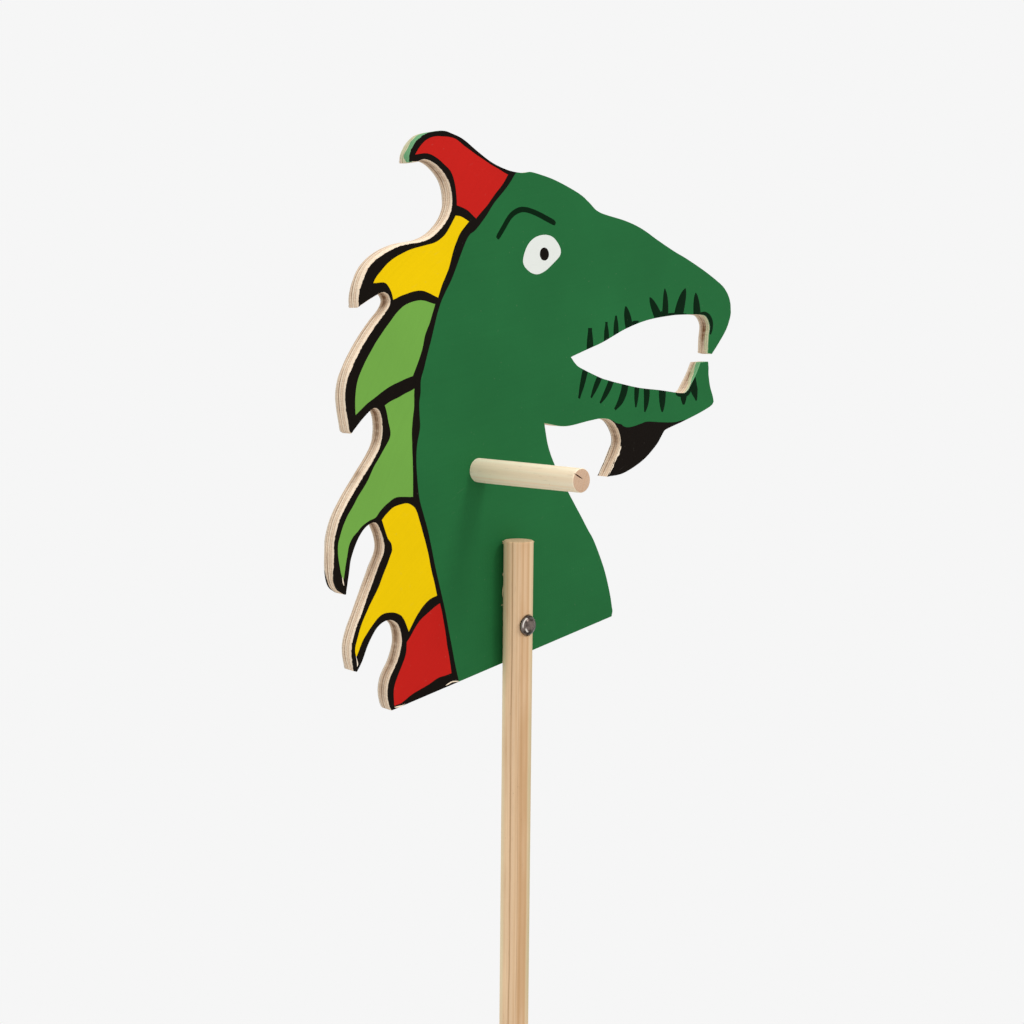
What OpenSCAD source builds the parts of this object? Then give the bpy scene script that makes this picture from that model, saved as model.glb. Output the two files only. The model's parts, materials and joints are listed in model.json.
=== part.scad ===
// Dragon head puppet on a stick: a sawn plywood head with a handle through it,
// clamped to a round stick by one bolt that it tilts about.
// The stick stands on +Z with its lower end at the origin, the snout points to +X
// and the side with the bolt head faces -Y. Millimetres throughout.

/* [Head board] */
// Width of the head from the mane to the snout
head_w = 465; // [380:560]
// Thickness of the plywood
board_t = 12.7; // [9:0.1:15]

/* [Stick] */
// Diameter of the stick
stick_d = 25; // [22:28]
// Length of the stick
stick_l = 800; // [600:1000]
// How far the stick reaches above the pivot bolt
stick_above = 70; // [40:80]

/* [Handle] */
// Diameter of the handle
handle_d = 20; // [16:22]
// Length that stands out on each side of the board
handle_reach = 118; // [90:130]

/* [Pivot] */
// Diameter of the bolt
bolt_d = 6; // [5:0.5:6]
// Length of the bolt under its head
bolt_l = 50; // [47:60]
// Diameter of the bolt's domed head
bolt_head_d = 17; // [14:0.5:18]
// Height of the bolt's domed head
bolt_head_h = 6; // [3:0.1:7]
// How deep the bolt head is pulled into the stick
bolt_seat = 1; // [0.5:0.1:2]
// Diameter of the washer behind the board
washer_d = 18; // [12:24]

/* [Hidden] */
$fn = 96;

// Fits and small edges
stick_gap = 0.3;            // between the stick and the board
washer_gap = 0.1;           // between the board and the washer
pivot_play = 0.15;          // on the diameter of the board's bolt hole
drill_play = 0.4;           // on the diameter of the hole through the stick
washer_play = 0.4;          // on the washer's hole
nut_play = 0.04;            // on the nut's bore, where the threads meet
seat_play = 0.1;            // on the pocket that the bolt head is pulled into
sanded = 1.2;               // softened ends of the stick and the handle

// Small hardware
washer_t = 1.6;
nut_af = 10;                // across the flats
nut_hex_h = 4.7;
nut_h = 6;
nut_collar_d = 8.8;
ring_d = 7.4;
ring_t = 1.8;
neck_l = 4;
bolt_tip = 0.8;
bolt_rim = 1.4;             // upright edge of the domed head

// Where things sit, in depth (+Y) and height (+Z)
pivot_z = stick_l - stick_above;
board_y = stick_d / 2 + stick_gap;
board_back = board_y + board_t;
washer_y = board_back + washer_gap;
nut_y = washer_y + washer_t;
bolt_y = bolt_seat - stick_d / 2;

// The head is drawn around the pivot bolt at its normal width
drawn_w = 465;
head_k = head_w / drawn_w;
handle_at = [-33, 129.3] * head_k;

// Longest straight step along the curves of the sawn edge
saw_step = 4;

// Each run is a smooth curve through its points, and runs meet at corners
skull = [[-106.5, 369], [-105, 377.3], [-94.3, 390.4], [-74, 396.2], [-62.4, 395], [-54.7, 393.1],
    [-48.5, 390.5], [-36.5, 384], [-20.6, 376.6], [-3.2, 372.3], [11.5, 371.5], [19.3, 372.9],
    [27, 372.7], [50, 368.8], [78, 360.2], [91, 353.3], [104, 346.1], [137, 340.9], [158.5, 335.3],
    [180, 326.5], [202.4, 317.9], [221.2, 311.6], [247.5, 301.3], [268.9, 291.3], [276.3, 286.4],
    [281.8, 280.4], [285, 274], [286, 267.5], [285.8, 260.8], [280.3, 248.4], [269.2, 234.8],
    [259.6, 224.6]];
palate = [[253.6, 225.5], [253.9, 240], [255, 251], [250, 258.8], [241, 261.2], [213, 260.5],
    [198.8, 259.3], [176, 256.2], [158, 252.2], [137.8, 245.8], [117.8, 237.4], [107.3, 233.2],
    [92.5, 228.4], [71.3, 221.4]];
lower_lip = [[71.3, 221.4], [77.5, 215.5], [84.3, 211.9], [107, 204], [118, 201.3], [133, 198.4],
    [159, 194.1], [187, 191.6], [215, 188.6], [224, 189.9], [231, 198], [237, 206], [243.2, 217]];
chin = [[254.3, 217.6], [255.4, 211.5], [255.5, 206], [258.3, 194], [263.2, 183], [262.6, 177.1],
    [248.5, 170.8], [223.4, 162.8], [204, 157.4], [197.4, 155.4], [193.9, 153.7], [189.5, 148.3],
    [182.6, 140.5], [165.1, 127.8], [140.1, 117.6], [119.3, 115.5]];
beard_hook = [[119.3, 115.5], [125.3, 124.7], [132.5, 136], [136.2, 147], [132.3, 157], [124, 165],
    [112, 167.5], [96, 166], [66, 162], [40.7, 165.5]];
throat = [[40.7, 165.5], [46, 145], [56, 125.7], [71, 104.3], [79.9, 92], [87, 82.3], [95.5, 70.3],
    [104.2, 58.2], [117, 33], [125, 10], [129, -7]];
nape = [[-123, -56.7], [-125.4, -53], [-127.6, -42], [-125, -30], [-117.5, -17], [-114, -3],
    [-116, 9.5], [-125, 16.2], [-136, 12.6], [-145, 1], [-151.7, -13], [-156.7, -20.5]];
fourth_lock = [[-159.5, -19.5], [-162.5, -9], [-161.9, 4], [-153.7, 24.4], [-145, 42], [-137, 58.3],
    [-131.5, 71.3], [-132.8, 83.7], [-138.3, 93.6], [-147, 91.8], [-155, 83], [-161.5, 69],
    [-163.8, 57], [-166.8, 41]];
third_lock = [[-168, 41.2], [-174.7, 46.3], [-178, 57], [-178.5, 77], [-174, 97], [-163.8, 115],
    [-151, 132], [-138.7, 148], [-132.5, 161], [-133.3, 176], [-139, 182.2], [-149, 175.5],
    [-161, 163.5]];
second_lock = [[-163.3, 165], [-166.5, 180], [-167.1, 197], [-162.4, 213], [-151.6, 230.4],
    [-138.7, 246.6], [-128, 257.5], [-124.7, 265], [-130, 270], [-141, 265.5], [-154.5, 257.8]];
first_lock = [[-154.5, 257.8], [-155, 268], [-150, 283.5], [-136.6, 297.6], [-117, 306.7],
    [-94, 311.7], [-78, 320], [-67.3, 332], [-63.6, 346], [-68, 359.5], [-79, 369.2], [-90, 372.5],
    [-98, 370], [-106.5, 369]];
sawn_runs = [skull, palate, lower_lip, chin, beard_hook, throat,
    [[127.8, -12], [-123, -56.7]], nape, fourth_lock, third_lock, second_lock, first_lock];

// The point at t = 0 to 1 along a smooth curve from b to c, with neighbours a and d
function between(a, b, c, d, t) =
    b + (c - a) * t / 2 + (2 * a - 5 * b + 4 * c - d) * t * t / 2
    + (3 * b - a - 3 * c + d) * t * t * t / 2;

// The neighbour past either end of a run carries straight on
function run_point(run, i) =
    i < 0 ? 2 * run[0] - run[1] :
    i >= len(run) ? 2 * run[len(run) - 1] - run[len(run) - 2] : run[i];

// A run as short straight steps, without its last point
function smooth(run) = [
    for (i = [0 : len(run) - 2])
        let (steps = max(2, ceil(norm(run[i + 1] - run[i]) / saw_step)))
        for (s = [0 : steps - 1])
            between(run_point(run, i - 1), run[i], run[i + 1], run_point(run, i + 2), s / steps)];

// A straight run needs no steps; the last point stays where the next run starts elsewhere
function sawn(i) =
    let (run = sawn_runs[i], next = sawn_runs[(i + 1) % len(sawn_runs)])
    concat(len(run) == 2 ? [run[0]] : smooth(run),
        norm(run[len(run) - 1] - next[0]) > 0 ? [run[len(run) - 1]] : []);

head_outline = [for (i = [0 : len(sawn_runs) - 1]) each sawn(i)] * head_k;

// Turns local +Z to +Y, about the pivot bolt
module on_pivot(y) {
    translate([0, y, pivot_z]) rotate([-90, 0, 0]) children();
}

module rod(d, l) {
    translate([0, 0, sanded]) cylinder(d = d, h = l - 2 * sanded);
    cylinder(d1 = d - 2 * sanded, d2 = d, h = sanded);
    translate([0, 0, l - sanded]) cylinder(d1 = d, d2 = d - 2 * sanded, h = sanded);
}

module domed_head() {
    dome_h = bolt_head_h - bolt_rim;
    dome_r = (pow(bolt_head_d / 2, 2) + pow(dome_h, 2)) / (2 * dome_h);
    intersection() {
        translate([0, 0, dome_r - bolt_head_h]) sphere(r = dome_r);
        translate([0, 0, -bolt_head_h]) cylinder(d = bolt_head_d, h = bolt_head_h);
    }
}

module square_neck() {
    translate([-bolt_d / 2, -bolt_d / 2, 0]) cube([bolt_d, bolt_d, neck_l]);
}

module head_board() {
    color("forestgreen") difference() {
        translate([0, board_back, pivot_z]) rotate([90, 0, 0])
            linear_extrude(height = board_t) polygon(head_outline);
        on_pivot(board_y - 1) cylinder(d = bolt_d + pivot_play, h = board_t + 2);
        on_pivot(board_y - 1) translate([handle_at[0], -handle_at[1], 0])
            cylinder(d = handle_d, h = board_t + 2);
    }
}

module handle() {
    color("burlywood") on_pivot(board_y - handle_reach)
        translate([handle_at[0], -handle_at[1], 0]) rod(handle_d, board_t + 2 * handle_reach);
}

module stick() {
    color("tan") difference() {
        rod(stick_d, stick_l);
        on_pivot(-stick_d / 2 - 1) cylinder(d = bolt_d + drill_play, h = stick_d + 2);
        on_pivot(bolt_y) square_neck();
        on_pivot(-stick_d / 2 - 1) cylinder(d = bolt_head_d + seat_play, h = bolt_seat + 1);
    }
}

module bolt() {
    color("silver") on_pivot(bolt_y) {
        domed_head();
        square_neck();
        cylinder(d = bolt_d, h = bolt_l - bolt_tip);
        translate([0, 0, bolt_l - bolt_tip])
            cylinder(d1 = bolt_d, d2 = bolt_d - 2 * bolt_tip, h = bolt_tip);
    }
}

module washer() {
    color("gainsboro") on_pivot(washer_y) difference() {
        cylinder(d = washer_d, h = washer_t);
        translate([0, 0, -1]) cylinder(d = bolt_d + washer_play, h = washer_t + 2);
    }
}

module lock_nut() {
    nut_e = nut_af / cos(30);
    nut_edge = (nut_e - nut_af) / 2;
    color("silver") on_pivot(nut_y) difference() {
        union() {
            intersection() {
                cylinder(d = nut_e, h = nut_hex_h, $fn = 6);
                translate([0, 0, nut_edge / 2]) union() {
                    cylinder(d = nut_e, h = nut_hex_h - nut_edge);
                    translate([0, 0, -nut_edge / 2])
                        cylinder(d1 = nut_af, d2 = nut_e, h = nut_edge / 2);
                    translate([0, 0, nut_hex_h - nut_edge])
                        cylinder(d1 = nut_e, d2 = nut_af, h = nut_edge / 2);
                }
            }
            cylinder(d = nut_collar_d, h = nut_h);
        }
        translate([0, 0, -1]) cylinder(d = bolt_d + nut_play, h = nut_h + 2);
        translate([0, 0, nut_h - ring_t - 0.4]) cylinder(d = ring_d, h = ring_t);
    }
}

module nut_ring() {
    color("royalblue") on_pivot(nut_y + nut_h - ring_t - 0.4) difference() {
        cylinder(d = ring_d, h = ring_t);
        translate([0, 0, -1]) cylinder(d = bolt_d, h = ring_t + 2);
    }
}

head_board();
handle();
stick();
bolt();
washer();
lock_nut();
nut_ring();
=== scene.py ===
import json
import math
import bmesh
import bpy
from mathutils import Euler, Matrix, Vector, noise
from mathutils.geometry import delaunay_2d_cdt


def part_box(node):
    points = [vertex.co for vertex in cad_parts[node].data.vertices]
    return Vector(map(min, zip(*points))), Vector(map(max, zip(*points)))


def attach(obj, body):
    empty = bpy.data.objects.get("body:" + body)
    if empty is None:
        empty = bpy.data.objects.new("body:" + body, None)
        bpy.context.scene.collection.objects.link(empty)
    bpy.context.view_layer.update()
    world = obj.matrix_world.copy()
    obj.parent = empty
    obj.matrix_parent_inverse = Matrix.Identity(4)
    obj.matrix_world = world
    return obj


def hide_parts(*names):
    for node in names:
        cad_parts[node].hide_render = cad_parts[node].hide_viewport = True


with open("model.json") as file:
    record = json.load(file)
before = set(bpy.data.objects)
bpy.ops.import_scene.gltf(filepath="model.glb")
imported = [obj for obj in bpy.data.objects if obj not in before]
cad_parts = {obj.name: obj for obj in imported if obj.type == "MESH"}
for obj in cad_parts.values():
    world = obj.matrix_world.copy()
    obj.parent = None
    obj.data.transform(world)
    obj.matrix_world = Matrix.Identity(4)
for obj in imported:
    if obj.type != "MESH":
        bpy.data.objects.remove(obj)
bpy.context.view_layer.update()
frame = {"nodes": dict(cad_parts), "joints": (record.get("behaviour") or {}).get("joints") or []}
print("frame loaded")

mm = 0.001
pivot = Vector(frame["joints"][0]["pos_m"])
boardLow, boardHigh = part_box("head_board")
boardFront, boardBack = boardLow.y, boardHigh.y
boardThick = (boardBack - boardFront) / mm
handleLow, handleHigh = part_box("handle")
handleAxis = (handleLow + handleHigh) / 2
stickLow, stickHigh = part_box("stick")
boltLow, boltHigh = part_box("bolt")
washerLow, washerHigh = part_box("washer")
nutLow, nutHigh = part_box("lock_nut")
ringLow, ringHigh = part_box("nut_ring")

# local +Z of a lathed piece runs along the bolt, the washer and the handle as +Y
alongBolt = Matrix(((1, 0, 0, pivot.x), (0, 0, 1, 0), (0, -1, 0, pivot.z), (0, 0, 0, 1)))
alongHandle = Matrix(((1, 0, 0, handleAxis.x), (0, 0, 1, 0), (0, -1, 0, handleAxis.z), (0, 0, 0, 1)))


# Drawing: points are millimetres from the bolt, x towards the snout and z up

def onBoard(point, y):
    return Vector((pivot.x + point[0] * mm, y, pivot.z + point[1] * mm))


def splinePoint(a, b, c, d, t):
    return tuple(
        q + (r - p) * t / 2 + (2 * p - 5 * q + 4 * r - s) * t ** 2 / 2 + (3 * q - p - 3 * r + s) * t ** 3 / 2
        for p, q, r, s in zip(a, b, c, d))


def smoothRun(points, step=1.2, closed=False):
    # a smooth curve through the points; each may hold a width after x and z
    points = [tuple(p) for p in points]
    if closed:
        padded = points[-1:] + points + points[:2]
    else:
        first = tuple(2 * p - q for p, q in zip(points[0], points[1]))
        last = tuple(2 * p - q for p, q in zip(points[-1], points[-2]))
        padded = [first] + points + [last]
    run = []
    for a, b, c, d in zip(padded, padded[1:], padded[2:], padded[3:]):
        count = max(1, math.ceil(math.dist(b[:2], c[:2]) / step))
        run += [splinePoint(a, b, c, d, k / count) for k in range(count)]
    return run if closed else run + points[-1:]


def joinedRuns(runs, step=1.2):
    # a closed line of smooth runs, each ending in a corner at the start of the next
    loop = []
    for run, following in zip(runs, runs[1:] + runs[:1]):
        loop += smoothRun(run + following[:1], step)[:-1]
    return loop


def leftNormals(loop):
    # inwards where the loop runs counterclockwise, longer at a corner and shorter beside a sharp one
    leastLean, sharpLean, besideSharp = 0.65, 0.8, 0.45
    normals = []
    leans = []
    for i, point in enumerate(loop):
        before = (Vector(point) - Vector(loop[i - 1])).normalized()
        after = (Vector(loop[(i + 1) % len(loop)]) - Vector(point)).normalized()
        side = Vector((-before.y - after.y, before.x + after.x)).normalized()
        leans.append(side.dot(Vector((-before.y, before.x))))
        normals.append(side / max(leastLean, leans[-1]))
    for i in range(len(loop)):
        if min(leans[i - 1], leans[(i + 1) % len(loop)]) < sharpLean:
            normals[i] = normals[i] * besideSharp
    return normals


def inset(loop, amount):
    # moves a loop inwards, by one distance or by a rule that takes the point
    reach = amount if callable(amount) else lambda point: amount
    return [(p[0] + n.x * reach(p), p[1] + n.y * reach(p)) for p, n in zip(loop, leftNormals(loop))]


def unsteady(loop, amount, seed):
    # the small wander of a brush held by hand
    perMm = 0.09
    return inset(loop, lambda p: amount * noise.noise((p[0] * perMm, p[1] * perMm, seed)))


def isInside(point, loop):
    inside = False
    for a, b in zip(loop, loop[1:] + loop[:1]):
        if (a[1] > point[1]) != (b[1] > point[1]):
            inside ^= point[0] < a[0] + (b[0] - a[0]) * (point[1] - a[1]) / (b[1] - a[1])
    return inside


def counterclockwise(loop):
    area = sum(a[0] * b[1] - b[0] * a[1] for a, b in zip(loop, loop[1:] + loop[:1]))
    return loop if area > 0 else loop[::-1]


def nearest(loop, point):
    return min(range(len(loop)), key=lambda i: math.dist(loop[i], point))


def stretchOf(loop, start, end):
    # numbers of the points from start to end, counterclockwise
    first, last = nearest(loop, start), nearest(loop, end)
    return [i % len(loop) for i in range(first, last + (len(loop) if last < first else 0) + 1)]


def filled(loops):
    # triangles between an outer loop and its holes, as numbers counted through the loops
    points = [Vector(p) for loop in loops for p in loop]
    edges = []
    for loop in loops:
        start = len(edges)
        edges += [(start + i, start + (i + 1) % len(loop)) for i in range(len(loop))]
    verts, _, faces, origins, *_ = delaunay_2d_cdt(points, edges, [], 1, 1e-7)
    crossings = [tuple(round(c, 1) for c in verts[i]) for i in range(len(verts)) if not origins[i]]
    if crossings:
        raise ValueError(f"lines cross near {crossings[:8]}")
    triangles = []
    for face in faces:
        corners = [verts[i] for i in face]
        middle = sum(corners, Vector((0, 0))) / 3
        if not any(isInside(middle, hole) for hole in loops[1:]):
            order = [origins[i][0] for i in face]
            area = (corners[1] - corners[0]).cross(corners[2] - corners[0])
            triangles.append(order if area > 0 else order[::-1])
    return triangles


def circle(centre, radius, count):
    # clockwise, as a hole runs
    turns = [math.tau * k / count for k in range(count)]
    return [(centre[0] + radius * math.cos(turn), centre[1] - radius * math.sin(turn)) for turn in turns]


def sawnLine():
    # the outline of the head board, from the frame
    bm = bmesh.new()
    bm.from_mesh(frame["nodes"]["head_board"].data)
    bmesh.ops.remove_doubles(bm, verts=bm.verts, dist=1e-6)
    flat = {f for f in bm.faces if all(abs(v.co.y - boardFront) < 1e-6 for v in f.verts)}
    following = {}
    for face in flat:
        for corner in face.loops:
            if not any(other in flat for other in corner.edge.link_faces if other is not face):
                following[corner.vert] = corner.link_loop_next.vert
    loops = []
    while following:
        vert = next(iter(following))
        loop = []
        while vert in following:
            loop.append(((vert.co.x - pivot.x) / mm, (vert.co.z - pivot.z) / mm))
            vert = following.pop(vert)
        loops.append(loop)
    bm.free()
    return counterclockwise(max(loops, key=len))


def sawnCurve(step, cornerTurn):
    # the same line with its curves made fine and its corners kept; a very narrow tip is one corner
    line = sawnLine()
    loop = [p for i, p in enumerate(line) if math.dist(p, line[i - 1]) > board["narrowTip"]]
    # a set of faces has no fixed order, so the line is made to start at its lowest point
    lowest = loop.index(min(loop, key=lambda p: p[1]))
    loop = loop[lowest:] + loop[:lowest]
    corners = []
    for i, point in enumerate(loop):
        before = Vector(point) - Vector(loop[i - 1])
        after = Vector(loop[(i + 1) % len(loop)]) - Vector(point)
        if abs(before.angle_signed(after)) > math.radians(cornerTurn):
            corners.append(i)
    ends = corners[1:] + [corners[0] + len(loop)]
    return joinedRuns([[loop[k % len(loop)] for k in range(a, b)] for a, b in zip(corners, ends)], step)


# Shader nodes

def tone(red, green, blue):
    # a colour from 0 to 255, as on a paint chart, in Blender's linear values
    return tuple(((c / 255 + 0.055) / 1.055) ** 2.4 if c > 10 else c / 3295
                 for c in (red, green, blue)) + (1,)


def connect(tree, node, inputs):
    # an input takes another node's output or a plain value
    for key, value in inputs.items():
        if isinstance(value, bpy.types.NodeSocket):
            tree.links.new(value, node.inputs[key])
        else:
            node.inputs[key].default_value = value


def addNode(tree, kind, inputs=None, **settings):
    # the outputs of a new node; a shader node's kind goes without its first word
    made = tree.nodes.new(kind if "Node" in kind else "ShaderNode" + kind)
    for setting, value in settings.items():
        setattr(made, setting, value)
    connect(tree, made, inputs or {})
    return made.outputs


def maths(tree, operation, *values):
    return addNode(tree, "Math", dict(enumerate(values)), operation=operation)[0]


def times(tree, first, second):
    return maths(tree, "MULTIPLY", first, second)


def vectorMaths(tree, operation, *values):
    made = addNode(tree, "VectorMath", dict(enumerate(values)), operation=operation)
    return made["Value" if operation in ("LENGTH", "DOT_PRODUCT") else "Vector"]


def stretched(tree, vector, factors):
    return vectorMaths(tree, "MULTIPLY", vector, factors)


def brightened(tree, colour, factor):
    return addNode(tree, "VectorMath", {0: colour, "Scale": factor}, operation="SCALE")[0]


def mixed(tree, factor, first, second):
    return addNode(tree, "Mix", {0: factor, 6: first, 7: second}, data_type="RGBA")[2]


def clouds(tree, vector, scale, detail=2, roughness=0.5):
    return addNode(tree, "TexNoise", {
        "Vector": vector, "Scale": scale, "Detail": detail, "Roughness": roughness})[0]


def drawnOut(tree, vector, factors, detail=2, roughness=0.5):
    # clouds made narrow where a factor is large, as fibres and brush marks are
    return clouds(tree, stretched(tree, vector, factors), 1, detail, roughness)


def turnedAbout(tree, axis, vector, angle, centre=(0, 0, 0)):
    return addNode(tree, "VectorRotate", {
        "Vector": vector, "Angle": angle, "Center": centre}, rotation_type=axis + "_AXIS")[0]


def pointValue(tree, name):
    # what the mesh's own points hold under a name
    return addNode(tree, "Attribute", attribute_name=name)["Fac"]


def apartBy(tree, first, second):
    return maths(tree, "ABSOLUTE", maths(tree, "SUBTRACT", first, second))


def aboutMiddle(tree, value, strength, level):
    # lets a cloud's value, from 0 to 1, push a level up and down
    return maths(tree, "MULTIPLY_ADD", maths(tree, "SUBTRACT", value, 0.5), strength, level)


def remapped(tree, value, low, high, toLow=0.0, toHigh=1.0):
    return addNode(tree, "MapRange", {0: value, 1: low, 2: high, 3: toLow, 4: toHigh},
                   interpolation_type="SMOOTHSTEP")[0]


def newGroup(name, inputs, outputs):
    group = bpy.data.node_groups.new(name, "ShaderNodeTree")
    for title, kind in inputs:
        group.interface.new_socket(title, in_out="INPUT", socket_type="NodeSocket" + kind)
    for title, kind in outputs:
        group.interface.new_socket(title, in_out="OUTPUT", socket_type="NodeSocket" + kind)
    return group, group.nodes.new("NodeGroupInput").outputs, group.nodes.new("NodeGroupOutput").inputs


def placed(tree, group, inputs):
    return addNode(tree, "Group", inputs, node_tree=group)


def brushMarksGroup():
    # hand brushed paint: uneven cover, brush streaks and the veneer's grain showing through
    tree, given, result = newGroup(
        "brushMarks",
        [("Vector", "Vector"), ("Paint", "Color"), ("Patches", "Float"), ("Streaks", "Float"),
         ("Turn", "Float")],
        [("Color", "Color"), ("Height", "Float"), ("Dullness", "Float")])
    where = given["Vector"]
    patches = clouds(tree, where, 13, 3)
    streaks = drawnOut(tree, turnedAbout(tree, "Y", where, given["Turn"]), (14, 14, 520), 4, 0.6)
    veneer = drawnOut(tree, where, (620, 620, 12), 3, 0.6)
    peel = clouds(tree, where, 900, 2)
    level = aboutMiddle(tree, streaks, given["Streaks"], aboutMiddle(tree, patches, given["Patches"], 1.0))
    tree.links.new(brightened(tree, given["Paint"], level), result["Color"])
    relief = maths(tree, "MULTIPLY_ADD", veneer, 0.7, maths(tree, "MULTIPLY_ADD", streaks, 0.6, peel))
    tree.links.new(relief, result["Height"])
    tree.links.new(maths(tree, "MULTIPLY_ADD", patches, 0.5, streaks), result["Dullness"])
    return tree


def scuffsGroup():
    # specks of dust and short scratches
    tree, given, result = newGroup(
        "scuffs", [("Vector", "Vector"), ("Amount", "Float")], [("Mask", "Float")])
    where = given["Vector"]
    specks = remapped(tree, clouds(tree, where, 330, 2, 0.7), 0.70, 0.76)
    slanted = turnedAbout(tree, "Y", where, 0.5)
    scratches = remapped(tree, drawnOut(tree, slanted, (60, 60, 1500)), 0.70, 0.76)
    gathered = remapped(tree, clouds(tree, where, 26), 0.56, 0.66)
    marks = maths(tree, "MULTIPLY_ADD", scratches, gathered, specks)
    tree.links.new(times(tree, marks, given["Amount"]), result["Mask"])
    return tree


def woodFigureGroup():
    # growth rings about a far pith, fibres along local Z and short dark flecks
    tree, given, result = newGroup(
        "woodFigure",
        [("Vector", "Vector"), ("Light", "Color"), ("Dark", "Color"), ("Pith", "Vector"),
         ("Ring", "Float"), ("Fibre", "Float"), ("Fleck", "Float")],
        [("Color", "Color"), ("Height", "Float")])
    where = given["Vector"]
    bend = drawnOut(tree, where, (14, 14, 1.3))
    away = vectorMaths(tree, "SUBTRACT", where, given["Pith"])
    across = vectorMaths(tree, "LENGTH", stretched(tree, away, (1, 1, 0)))
    rings = maths(tree, "DIVIDE", maths(tree, "MULTIPLY_ADD", bend, 0.006, across), given["Ring"])
    phase = maths(tree, "FRACT", rings)
    year = addNode(tree, "TexWhiteNoise", {
        "W": maths(tree, "FLOOR", rings)}, noise_dimensions="1D")["Value"]
    late = times(tree, remapped(tree, phase, 0.3, 0.9), remapped(tree, phase, 1.0, 0.92))
    strength = times(tree, late, remapped(tree, year, 0, 1, 0.35, 1.0))
    fibres = drawnOut(tree, where, (1300, 1300, 16))
    broad = drawnOut(tree, where, (170, 170, 3))
    flecks = remapped(tree, drawnOut(tree, where, (900, 900, 90), 1), 0.68, 0.76)
    level = aboutMiddle(tree, fibres, given["Fibre"], aboutMiddle(tree, broad, given["Fibre"], 1.0))
    level = maths(tree, "SUBTRACT", level, times(tree, flecks, given["Fleck"]))
    figure = mixed(tree, strength, given["Light"], given["Dark"])
    tree.links.new(brightened(tree, figure, level), result["Color"])
    ridges = maths(tree, "SUBTRACT", fibres, flecks)
    tree.links.new(maths(tree, "MULTIPLY_ADD", late, -0.4, ridges), result["Height"])
    return tree


brushMarks = brushMarksGroup()
scuffs = scuffsGroup()
woodFigure = woodFigureGroup()


def newMaterial(name):
    made = bpy.data.materials.new(name)
    made.use_nodes = True
    tree = made.node_tree
    return made, tree, tree.nodes["Principled BSDF"], addNode(tree, "TexCoord")["Object"]


def bumped(tree, shader, height, depth):
    connect(tree, shader, {"Normal": addNode(tree, "Bump", {"Height": height, "Distance": depth})[0]})


dustOn = {"paint": (150, 145, 130), "wood": (150, 120, 92)}
paints = {
    "greenPaint": {"colour": (37, 104, 57), "patches": 0.30, "streaks": 0.10, "turn": 0.2},
    "redPaint": {"colour": (194, 32, 26), "patches": 0.16, "streaks": 0.10, "turn": 0.9},
    "yellowPaint": {"colour": (238, 199, 3), "patches": 0.14, "streaks": 0.09, "turn": 0.7},
    "leafPaint": {"colour": (113, 166, 71), "patches": 0.16, "streaks": 0.09, "turn": 1.1},
    "blackPaint": {"colour": (20, 15, 11), "patches": 0.5, "streaks": 0.5, "turn": 1.2},
    "inkPaint": {"colour": (4, 32, 12), "patches": 0.5, "streaks": 0.4, "turn": 1.5},
    "whitePaint": {"colour": (226, 229, 223), "patches": 0.03, "streaks": 0.03, "turn": 0.4}}


def paintMaterial(name):
    look = paints[name]
    made, tree, shader, where = newMaterial(name)
    marks = placed(tree, brushMarks, {
        "Vector": where, "Paint": tone(*look["colour"]), "Patches": look["patches"],
        "Streaks": look["streaks"], "Turn": look["turn"]})
    worn = placed(tree, scuffs, {"Vector": where, "Amount": 0.12})
    connect(tree, shader, {
        "Base Color": mixed(tree, worn["Mask"], marks["Color"], tone(*dustOn["paint"])),
        "Roughness": remapped(tree, marks["Dullness"], 0.4, 1.1, 0.38, 0.60),
        "Specular IOR Level": 0.03})
    bumped(tree, shader, marks["Height"], 0.00007)
    return made


sawnPly = {
    "light": (250, 231, 205), "dark": (232, 197, 164), "glue": (146, 104, 72), "burnWithShade": (118, 80, 48),
    "grey": (202, 188, 170), "streak": (126, 88, 60), "mint": (84, 164, 112), "wash": (192, 204, 160),
    "ink": (24, 19, 13)}
# depths in the board, in millimetres: where the weathered plies begin, the dark streak and how far it
# wanders, and the middle of the saw burns and of the painted shade in the notches
sawnDepths = {"grey": (8.6, 10.6), "streak": 6.4, "streakWander": 2.4, "burnWithShade": 6.8}


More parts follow.
